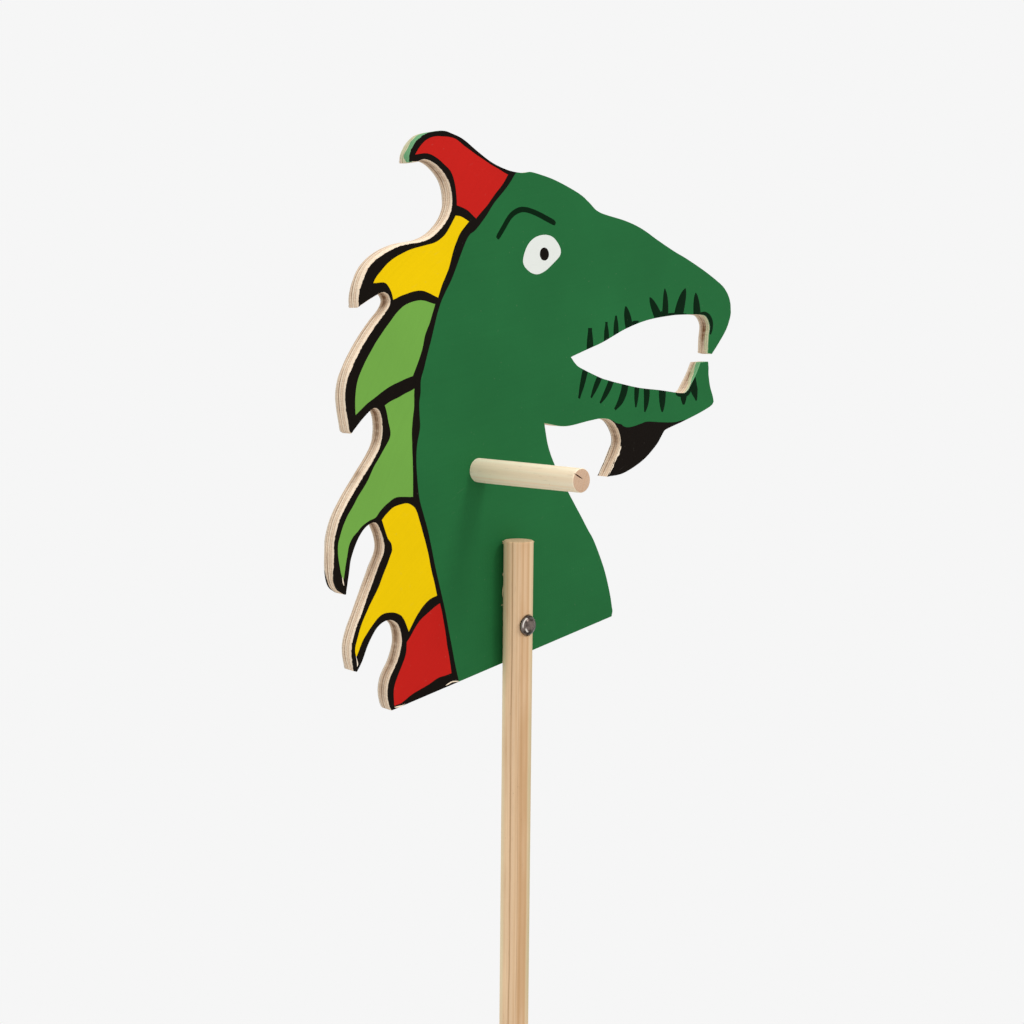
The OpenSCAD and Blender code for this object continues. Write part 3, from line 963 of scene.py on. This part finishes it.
def paintedFigure(face):
    holes = []
    for number, (name, cell) in enumerate(cells.items()):
        loop = unsteady(counterclockwise(joinedRuns(cell["runs"])), film["wander"], number * 7.3)
        holes.append(loop)
        paintFilm(name, [[inset(loop, -film["tuck"])]], film["colour"], cell["paint"])
    paintFilm("mane_black", [[alongFace(face, *maneEnds, maneBorder)] + holes], film["black"], "blackPaint")
    paintFilm("beard_black", [[alongFace(face, *beardEnds, beardTop)]], film["black"], "blackPaint")
    white = counterclockwise(smoothRun(eyeWhite, closed=True))
    paintFilm("eye_white", [[unsteady(white, film["eyeWander"], 4.0)]], film["white"], "whitePaint")
    (x, z), (halfX, halfZ) = pupil["centre"], pupil["half"]
    turns = [math.tau * k / 40 for k in range(40)]
    dark = [(x + halfX * math.cos(turn), z + halfZ * math.sin(turn)) for turn in turns]
    paintFilm("eye_pupil", [[unsteady(dark, film["pupilWander"], 9.0)]], film["black"], "blackPaint")
    chips = [[smoothRun(chip, 0.8, closed=True)] for chip in bareChips]
    paintFilm("bare_chips", chips, film["chips"], "sawnPly")


# Brush strokes: a Geometry Nodes tree lays each line as a low ridge of paint on both faces

def nodeTree(name, inputs):
    tree = bpy.data.node_groups.new(name, "GeometryNodeTree")
    tree.interface.new_socket("Geometry", in_out="INPUT", socket_type="NodeSocketGeometry")
    for title, kind in inputs:
        tree.interface.new_socket(title, in_out="INPUT", socket_type="NodeSocket" + kind)
    tree.interface.new_socket("Geometry", in_out="OUTPUT", socket_type="NodeSocketGeometry")
    return tree, tree.nodes.new("NodeGroupInput").outputs, tree.nodes.new("NodeGroupOutput").inputs


def finishTree(tree, geometry, given, result):
    smooth = addNode(tree, "GeometryNodeSetShadeSmooth", {0: geometry})[0]
    real = addNode(tree, "GeometryNodeRealizeInstances", {0: smooth})[0]
    coated = addNode(tree, "GeometryNodeSetMaterial", {0: real, "Material": given["Material"]})[0]
    tree.links.new(coated, result["Geometry"])


def sweptLines(tree, given):
    # a round bar along each line, as thick as its points say
    thickness = addNode(tree, "GeometryNodeInputNamedAttribute", {"Name": "thickness"}, data_type="FLOAT")[0]
    curve = addNode(tree, "GeometryNodeMeshToCurve", {0: given["Geometry"]})[0]
    ring = addNode(tree, "GeometryNodeCurvePrimitiveCircle", {
        "Resolution": given["Sides"], "Radius": 1.0})[0]
    return addNode(tree, "GeometryNodeCurveToMesh", {
        "Curve": curve, "Profile Curve": ring, "Scale": thickness, "Fill Caps": True})[0]


def brushStrokeTree():
    tree, given, result = nodeTree("brushStroke", [
        ("Flatness", "Float"), ("Front", "Vector"), ("Back", "Vector"), ("Sides", "Int"),
        ("Material", "Material")])
    swept = sweptLines(tree, given)
    flat = addNode(tree, "CombineXYZ", {0: 1.0, 1: 1.0, 2: given["Flatness"]})[0]
    join = tree.nodes.new("GeometryNodeJoinGeometry")
    for side in ("Front", "Back"):
        laid = addNode(tree, "GeometryNodeTransform", {
            "Geometry": swept, "Translation": given[side], "Rotation": Euler((math.pi / 2, 0, 0)),
            "Scale": flat})[0]
        tree.links.new(laid, join.inputs[0])
    finishTree(tree, join.outputs[0], given, result)
    return tree


def linesObject(name, lines):
    # each line is a list of (x, z, half width) in millimetres, drawn in local X and Y
    mesh = bpy.data.meshes.new(name)
    points = [p for line in lines for p in line]
    edges = []
    start = 0
    for line in lines:
        edges += [(start + i, start + i + 1) for i in range(len(line) - 1)]
        start += len(line)
    mesh.from_pydata([(x * mm, z * mm, 0) for x, z, _ in points], edges, [])
    thickness = mesh.attributes.new("thickness", "FLOAT", "POINT")
    thickness.data.foreach_set("value", [half * mm for _, _, half in points])
    return newObject(name, mesh)


def growNodes(maker, tree, values):
    modifier = maker.modifiers.new(tree.name, "NODES")
    modifier.node_group = tree
    sockets = {item.name: item.identifier for item in tree.interface.items_tree if item.in_out == "INPUT"}
    for title, value in values.items():
        modifier[sockets[title]] = value


def asPlainMesh(maker, name):
    # the maker gives way to a plain object with the mesh that its modifiers made
    mesh = evaluatedMesh(maker)
    mesh.name = name
    bpy.data.objects.remove(maker)
    return newObject(name, mesh)


def facePrism(face):
    # a slab as large as the painted face, a little thicker than the board
    bm = bmesh.new()
    proud = strokes["trimProud"] * mm
    front, back = ([bm.verts.new(onBoard(p, y)) for p in face]
                   for y in (boardFront - proud, boardBack + proud))
    for triangle in filled([face]):
        bm.faces.new([front[i] for i in triangle])
        bm.faces.new([back[i] for i in triangle[::-1]])
    wall(bm, front, back)
    return meshObject("face_prism", bm)


strokes = {
    "flatness": 0.035, "sides": 14,
    "overrun": 3.0,       # of a tooth's line past its base
    "trimProud": 0.6,     # how far the trimming slab stands out of the board
    # base, tip, width at the base, bluntness of the tip, and a bend to one side
    "teeth": [
        ((94.3, 229.7), (94, 246.6), 8.2, 0.62, 0.0), ((114.9, 236.4), (114.4, 252.2), 6.5, 0.5, 0.0),
        ((126.9, 243.4), (126.5, 258), 6.5, 0.35, 0.0), ((143.4, 249.7), (138.6, 266.4), 9.6, 0.15, 0.0),
        ((182.5, 257.9), (170.2, 275.2), 9.6, 0.1, 0.0), ((191.1, 259.8), (190.3, 283.8), 8.2, 0.1, -1.0),
        ((210.2, 260.1), (219.2, 284.8), 12.0, 0.08, 0.6), ((236.6, 260.7), (233.8, 281.3), 10.2, 0.1, 0.0),
        ((88.8, 209.3), (81.7, 185.8), 6.6, 0.4, 0.0), ((106.4, 203.1), (96.7, 186.2), 6.2, 0.35, 0.0),
        ((120.7, 199), (108.1, 181.2), 6.6, 0.3, 1.0), ((138.9, 196), (127, 175.2), 8.4, 0.3, 2.8),
        ((155.4, 193), (154.5, 176.6), 6.2, 0.3, 0.0), ((168.2, 191.7), (166.6, 172), 7.8, 0.2, 1.2),
        ((190, 190.2), (190.6, 171.4), 9.4, 0.2, 0.0), ((220, 187.5), (220.2, 177.6), 9.2, 0.3, 0.0)],
    # lines drawn freely, as (x, z, half width)
    "drawn": [
        [(-15.2, 316.9, 1.2), (-14, 318.4, 2.1), (-8.3, 326, 2.3), (-0.8, 335.6, 2.3), (8, 340.9, 2.3),
         (17, 342, 2.2), (28.5, 339.9, 2.3), (40, 336.4, 2.4), (47.5, 334, 2.3), (50.4, 332.6, 1.4)],
        [(241, 262, 1.2), (247, 261.8, 2.4), (252.8, 259.6, 2.8), (256.6, 255.4, 2.8), (257.4, 250.6, 2.7),
         (256.8, 246, 2.1), (256.2, 243, 1.0)],
        [(178, 257.2, 0.8), (187, 258.9, 1.7), (198, 260.2, 1.5), (210, 260.8, 1.6), (221, 261, 0.8)],
        [(184, 259, 2.0), (186.2, 261.6, 1.4), (186.3, 263.4, 0.5)],
        [(144, 249.5, 1.5), (150, 251.6, 2.2), (156, 253.5, 0.6)],
        [(209, 187.8, 0.9), (213, 187.2, 2.0), (219, 187.2, 2.5), (225, 188, 2.5), (229, 192, 2.3),
         (231.4, 196.6, 1.7), (233.4, 200.8, 1.0)],
        [(235.8, 203, 0.8), (235.4, 197, 3.0), (235.1, 191.3, 4.9), (237, 185.8, 3.0), (238.4, 181, 0.9)]]}


def toothLine(base, tip, width, bluntness, bend):
    # a stroke that narrows from its base to its tip
    away = Vector(tip) - Vector(base)
    side = Vector((-away.y, away.x)).normalized()
    away.normalize()
    root = Vector(base) - away * strokes["overrun"]
    length = (Vector(tip) - root).length
    line = []
    for share, swell in ((0, 1), (0.3, 1), (0.62, 0.82), (0.86, 0.5), (1, bluntness)):
        spot = root + away * length * share + side * bend * math.sin(math.pi * share)
        half = width / 2 * max(swell, bluntness)
        line.append((spot.x, spot.y, half))
    return smoothRun(line, 1.0)


def inkStrokes(face):
    lines = [toothLine(*tooth) for tooth in strokes["teeth"]]
    lines += [smoothRun(line, 1.0) for line in strokes["drawn"]]
    maker = linesObject("ink_lines", lines)
    growNodes(maker, brushStrokeTree(), {
        "Flatness": strokes["flatness"], "Front": (pivot.x, boardFront, pivot.z),
        "Back": (pivot.x, boardBack, pivot.z), "Sides": strokes["sides"], "Material": materials["inkPaint"]})
    prism = facePrism(face)
    cutWith(maker, "INTERSECT", prism).use_self = True
    settled(asPlainMesh(maker, "ink_strokes"), "head")
    bpy.data.objects.remove(prism)


# Handle

handle = {
    "rounding": 1.0, "rings": 110, "wander": 0.05,
    # the front end is turned thinner by this much, more above than below, over this length
    "taper": 0.6, "lift": 0.45, "taperFrom": 100,
    # the drying crack in the front end, as thin leaves across the end grain with their depths
    "cracks": [
        ([(-41.9, 136.2), (-38.4, 134.8), (-35.0, 133.0), (-31.2, 130.6), (-35.3, 132.0),
          (-38.7, 133.8)], 0.9),
        ([(-41.0, 136.9), (-40.5, 136.9), (-40.4, 135.1), (-40.9, 135.1)], 0.6)],
    "crackReach": 8}      # from the handle's axis


def roundHandle():
    length = (handleHigh.y - handleLow.y) / mm
    radius = (handleHigh.x - handleLow.x) / 2 / mm

    def turned(along, angle, reach):
        spot = (2.2 * math.cos(angle), 2.2 * math.sin(angle), along * 0.03)
        fromEnd = max(0, 1 - along / handle["taperFrom"])
        reach -= (handle["taper"] + handle["lift"] * math.sin(angle)) * fromEnd
        return reach - handle["wander"] * (0.5 + 0.5 * noise.noise(spot))

    place = Matrix.Translation((0, handleLow.y, 0)) @ alongHandle
    corner = handle["rounding"]
    rings = handle["rings"]
    stations = [corner + (length - 2 * corner) * k / rings for k in range(1, rings)]
    piece = lathed("round_handle", rodProfile(length, radius, corner, stations), place, "handleBeech",
                   "head", shape=turned)
    for leaf, depth in handle["cracks"]:
        cutCrack(piece, leaf, depth)
    # the crack's walls and floor get a dark wood: painted shade inside the narrow crack
    piece.data.materials.append(materials["crackShade"])
    for polygon in piece.data.polygons:
        middle = polygon.center
        off = (middle - handleAxis) * Vector((1, 0, 1))
        if handleLow.y + 0.1 * mm < middle.y < handleAxis.y and off.length < handle["crackReach"] * mm:
            polygon.material_index = 1
    smoothed(piece.data, 35)
    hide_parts("handle")


def cutCrack(piece, leaf, deep):
    bm = bmesh.new()
    near, far = ([bm.verts.new(onBoard(p, handleLow.y + depth * mm)) for p in leaf] for depth in (-0.5, deep))
    bm.faces.new(near)
    bm.faces.new(far[::-1])
    wall(bm, near, far)
    bmesh.ops.recalc_face_normals(bm, faces=bm.faces)
    cutter = meshObject("crack", bm)
    cutWith(piece, "DIFFERENCE", cutter)
    piece.data = evaluatedMesh(piece)
    piece.modifiers.clear()
    bpy.data.objects.remove(cutter)


# Stick

stick = {
    "rounding": 0.9, "segments": 120, "wander": 0.07,
    "ringStep": 5.0, "fineStep": 0.5, "fineReach": 12.0,    # finer rings near the bolt
    "seatDeep": 1.0, "seatRadius": 8.55, "seatSlope": 0.8,
    # splinters left by the saw: depth below the top, angle in degrees, how far out, how far down, half width
    "splinters": [(0.9, 139, 1.1, 0.2, 0.45), (1.2, 143, 0.8, 1.8, 0.35), (1.3, 150, 0.5, 1.2, 0.3),
                  (27, 140, 0.5, 3.0, 0.3), (37, 138, 0.6, 11.0, 0.35), (54.5, 139, 1.8, 0.5, 0.28),
                  (55, 142, 0.9, -1.4, 0.2), (1.0, -44, 0.6, 0.4, 0.35)]}


def roundStick():
    length = (stickHigh.z - stickLow.z) / mm
    radius = (stickHigh.x - stickLow.x) / 2 / mm
    seat = (pivot.z - stickLow.z) / mm

    def turned(along, angle, reach):
        spot = (1.8 * math.cos(angle), 1.8 * math.sin(angle), along * 0.012)
        facet = 0.5 + 0.5 * noise.noise(spot)
        reach -= stick["wander"] * facet
        x, y = reach * math.cos(angle), reach * math.sin(angle)
        # the bolt's head pressed a flat seat, with a slope round it
        fromRim = stick["seatRadius"] + stick["seatSlope"] - math.hypot(x, along - seat)
        if y < 0 and fromRim > 0:
            floor = radius - stick["seatDeep"]
            press = min(1, max(0, fromRim / stick["seatSlope"]))
            reach -= max(0, -y - floor) / max(0.2, -math.sin(angle)) * press
        return reach

    corner = stick["rounding"]
    stations = [corner]
    while stations[-1] < length - corner:
        fine = abs(stations[-1] - seat) < stick["fineReach"]
        stations.append(stations[-1] + stick["fineStep" if fine else "ringStep"])
    stations = [along for along in stations[1:-1] if along < length - 1.5 * corner]
    piece = lathed("round_stick", rodProfile(length, radius, corner, stations),
                   Matrix.Translation((0, 0, stickLow.z)), "stickPine", "stick",
                   segments=stick["segments"], shape=turned)
    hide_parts("stick")
    stickSplinters(radius)


def splinterTree():
    tree, given, result = nodeTree("splinter", [("Sides", "Int"), ("Material", "Material")])
    finishTree(tree, sweptLines(tree, given), given, result)
    return tree


def stickSplinters(radius):
    maker = linesObject("splinter_lines", [
        [(0, 0, half), (0, 0, half * 0.8), (0, 0, half * 0.15)] for *_, half in stick["splinters"]])
    for number, (below, angle, out, down, _) in enumerate(stick["splinters"]):
        outwards = Vector((math.cos(math.radians(angle)), math.sin(math.radians(angle)), 0)) * mm
        top = stickHigh.z - below * mm
        for step, (far, share) in enumerate(((-0.5, 0), (out * 0.6, 0.5), (out, 1))):
            spot = outwards * (radius + far) + Vector((0, 0, top - down * share * mm))
            maker.data.vertices[3 * number + step].co = spot
    growNodes(maker, splinterTree(), {"Sides": 8, "Material": materials["stickPine"]})
    settled(asPlainMesh(maker, "stick_splinters"), "stick")


# Bolt, washer and nut

boltLook = {
    "radius": 3.0, "core": 2.84,    # over the thread, and of the bar that carries it
    "high": 6.0, "upright": 1.4,    # the head, and the straight part of its rim
    "neckLong": 4, "neckFlat": 3.0, "neckCorner": 4.24,
    "turns": 14, "pitch": 1.0, "ridge": 0.3, "tip": 1.2}


def cupHeadBolt():
    top = boltLow.y / mm
    under = top + boltLook["high"]
    tip = boltHigh.y / mm
    half = (boltHigh.x - boltLow.x) / 2 / mm
    core = boltLook["core"]
    domeHigh = boltLook["high"] - boltLook["upright"]
    domeRadius = (half ** 2 + domeHigh ** 2) / (2 * domeHigh)
    edge = math.asin(half / domeRadius)
    dome = [(top + domeRadius * (1 - math.cos(turn)), domeRadius * math.sin(turn))
            for turn in (edge * k / 28 for k in range(1, 27))]
    rim = under - boltLook["upright"]
    dome += [(rim - 0.12, half - 0.17), (rim + 0.12, half - 0.06), (rim + 0.4, half - 0.02),
             (under - 0.2, half - 0.03)]
    neck = (boltLook["neckCorner"], 4, boltLook["neckFlat"])
    neckEnd = under + boltLook["neckLong"]
    profile = [(top, 0.05)] + dome + [
        (under, half - 0.3), (under, *neck), (neckEnd - 0.4, *neck), (neckEnd, boltLook["radius"]),
        (neckEnd + 0.3, core), (tip - 0.7, core), (tip, core - 0.7)]
    piece = lathed("cup_head_bolt", profile, alongBolt, "boltSteel", "stick")
    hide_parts("bolt")
    return tip


def threadTree():
    tree, given, result = nodeTree("screwThread", [
        ("Turns", "Float"), ("Radius", "Float"), ("Length", "Float"), ("Ridge", "Float"), ("Start", "Vector"),
        ("Material", "Material")])
    helix = addNode(tree, "GeometryNodeCurveSpiral", {
        "Resolution": 40, "Rotations": given["Turns"], "Start Radius": given["Radius"],
        "End Radius": given["Radius"], "Height": given["Length"]})[0]
    profile = addNode(tree, "GeometryNodeCurvePrimitiveCircle", {
        "Resolution": 6, "Radius": given["Ridge"]})[0]
    swept = addNode(tree, "GeometryNodeCurveToMesh", {
        "Curve": helix, "Profile Curve": profile, "Fill Caps": True})[0]
    laid = addNode(tree, "GeometryNodeTransform", {
        "Geometry": swept, "Translation": given["Start"], "Rotation": Euler((-math.pi / 2, 0, 0))})[0]
    finishTree(tree, laid, given, result)
    return tree


def boltThread(tip):
    length = boltLook["turns"] * boltLook["pitch"]
    ridge = boltLook["ridge"]
    maker = newObject("thread_maker", bpy.data.meshes.new("thread_maker"))
    growNodes(maker, threadTree(), {
        "Turns": float(boltLook["turns"]), "Radius": (boltLook["radius"] - ridge) * mm, "Length": length * mm,
        "Ridge": ridge * mm, "Start": (pivot.x, (tip - boltLook["tip"] - length) * mm, pivot.z),
        "Material": materials["boltSteel"]})
    settled(asPlainMesh(maker, "bolt_thread"), "stick")


nutLook = {"washerHole": 3.2, "hexHigh": 4.7, "flat": 5.0, "corner": 5.77, "collar": 4.4}


def washerNutAndRing():
    low, high = washerLow.y / mm, washerHigh.y / mm
    outer, inner = (washerHigh.x - washerLow.x) / 2 / mm, nutLook["washerHole"]
    profile = [(low + 0.02, inner + 0.1), (low, inner + 0.3), (low, outer - 0.35), (low + 0.12, outer - 0.08),
               (low + 0.4, outer - 0.01), (high - 0.25, outer - 0.01), (high - 0.06, outer - 0.06),
               (high, outer - 0.25), (high, inner + 0.25), (high - 0.2, inner)]
    washer = lathed("penny_washer", profile, alongBolt, "zincSteel", "stick", bored=True)
    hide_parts("washer")
    low, high = nutLow.y / mm, nutHigh.y / mm
    corner, collar = nutLook["corner"], nutLook["collar"]
    hexTop = low + nutLook["hexHigh"]
    hexRows = [(low, 4.7), (low + 0.04, 5.0), (low + 0.2, 5.4), (low + 0.42, corner),
               (hexTop - 0.42, corner), (hexTop - 0.2, 5.42), (hexTop, 5.02)]
    profile = [(low, 3.35)] + [(*row, 6, nutLook["flat"]) for row in hexRows] + [
        (hexTop + 0.02, collar + 0.12), (hexTop + 0.25, collar), (high - 0.55, collar),
        (high - 0.22, collar - 0.1), (high - 0.03, collar - 0.38), (high, collar - 0.62),
        (high - 0.06, 3.62), (high - 0.4, 3.5), (high - 0.4, 3.42), (high - 2.2, 3.1), (low + 0.3, 3.02)]
    nut = lathed("lock_nut_shell", profile, alongBolt, "zincSteel", "stick", bored=True,
                 smoothAngle=28)
    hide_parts("lock_nut")
    low, high = ringLow.y / mm, ringHigh.y / mm
    profile = [(low, 3.02), (low, 3.4), (high, 3.42), (high, 3.16), (high - 0.25, 3.02)]
    ring = lathed("nylon_ring", profile, alongBolt, "blueNylon", "stick", segments=72, bored=True)
    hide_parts("nut_ring")


# Studio

studio = {
    "white": (246, 246, 246), "skyLow": 0.66, "skyHigh": 1.22,
    "keyPlace": (0.4, -1.75, 1.8), "keyTarget": (0, 0, 0.15), "keySize": 0.5, "keyPower": 16.5,
    "floorTone": (204, 204, 204), "floorHalf": 9, "floorNear": 0.2, "floorFar": 0.65}


def studioWhite(tree, plain, source, share=1.0):
    # the lens, polished metal and glass see this share of the studio white, and the rest the plain surface
    path = addNode(tree, "LightPath")
    seen = maths(tree, "MAXIMUM", maths(tree, "MAXIMUM", path["Is Camera Ray"], path["Is Glossy Ray"]),
                 path["Is Transmission Ray"])
    white = addNode(tree, source, {"Color": tone(*studio["white"]), "Strength": 1.0})[0]
    return addNode(tree, "MixShader", {0: times(tree, seen, share), 1: plain, 2: white})[0]


def makeSky():
    world = bpy.context.scene.world or bpy.data.worlds.new("studio")
    bpy.context.scene.world = world
    world.use_nodes = True
    tree = world.node_tree
    tree.nodes.clear()
    height = addNode(tree, "SeparateXYZ", {0: addNode(tree, "TexCoord")["Generated"]})["Z"]
    glow = remapped(tree, height, -0.1, 1.0, studio["skyLow"], studio["skyHigh"])
    sky = addNode(tree, "Background", {"Color": (1, 1, 1, 1), "Strength": glow})[0]
    connect(tree, tree.nodes.new("ShaderNodeOutputWorld"), {0: studioWhite(tree, sky, "Background")})


def makeFloor():
    bm = bmesh.new()
    bmesh.ops.create_grid(bm, x_segments=1, y_segments=1, size=studio["floorHalf"])
    floor = meshObject("studio_floor", bm)
    made, tree, shader, where = newMaterial("paleFloor")
    connect(tree, shader, {
        "Base Color": tone(*studio["floorTone"]), "Roughness": 0.9, "Specular IOR Level": 0.0})
    # the shadow shows near the stick and fades into the white further out
    far = remapped(tree, vectorMaths(tree, "LENGTH", where), studio["floorNear"], studio["floorFar"])
    seen = studioWhite(tree, shader.outputs[0], "Emission", far)
    connect(tree, tree.nodes["Material Output"], {0: seen})
    floor.data.materials.append(made)


def makeKeyLight():
    light = bpy.data.lights.new("key_light", "AREA")
    light.size = studio["keySize"]
    light.energy = studio["keyPower"]
    key = newObject("key_light", light)
    key.location = pivot + Vector(studio["keyPlace"])
    towards = pivot + Vector(studio["keyTarget"]) - key.location
    key.rotation_euler = towards.to_track_quat("-Z", "Y").to_euler()


# place is metres from the bolt at the board's front face; heading, dip and roll are degrees
camera = {
    "place": (-0.7971, -0.8718, 0.2305), "heading": 42.58, "dip": 6.66, "roll": 0.541, "lens": 50,
    "sensor": 36}


def makeCamera():
    lens = bpy.data.cameras.new("camera")
    lens.lens = camera["lens"]
    lens.sensor_width = camera["sensor"]
    lens.clip_start = 0.05
    seer = newObject("camera", lens)
    seer.matrix_world = (
        Matrix.Translation(Vector((pivot.x, boardFront, pivot.z)) + Vector(camera["place"]))
        @ Matrix.Rotation(math.radians(-camera["heading"]), 4, "Z")
        @ Matrix.Rotation(math.radians(90 - camera["dip"]), 4, "X")
        @ Matrix.Rotation(math.radians(camera["roll"]), 4, "Z"))
    bpy.context.scene.camera = seer


materials = {name: paintMaterial(name) for name in paints}
materials.update({name: woodMaterial(name) for name in woods})
materials.update({name: metalMaterial(name) for name in metals})
materials["blueNylon"] = nylonMaterial()
materials["sawnPly"] = sawnPlyMaterial()
print("materials mixed")

paintedFace = sawnBoard()
print("head board sawn")
paintedFigure(paintedFace)
inkStrokes(paintedFace)
print("head painted")
roundHandle()
roundStick()
print("handle and stick turned")
boltThread(cupHeadBolt())
washerNutAndRing()
print("bolt, washer and nut fitted")
makeSky()
makeFloor()
makeKeyLight()
makeCamera()
bpy.context.scene.view_settings.view_transform = "Standard"
print("studio lit")
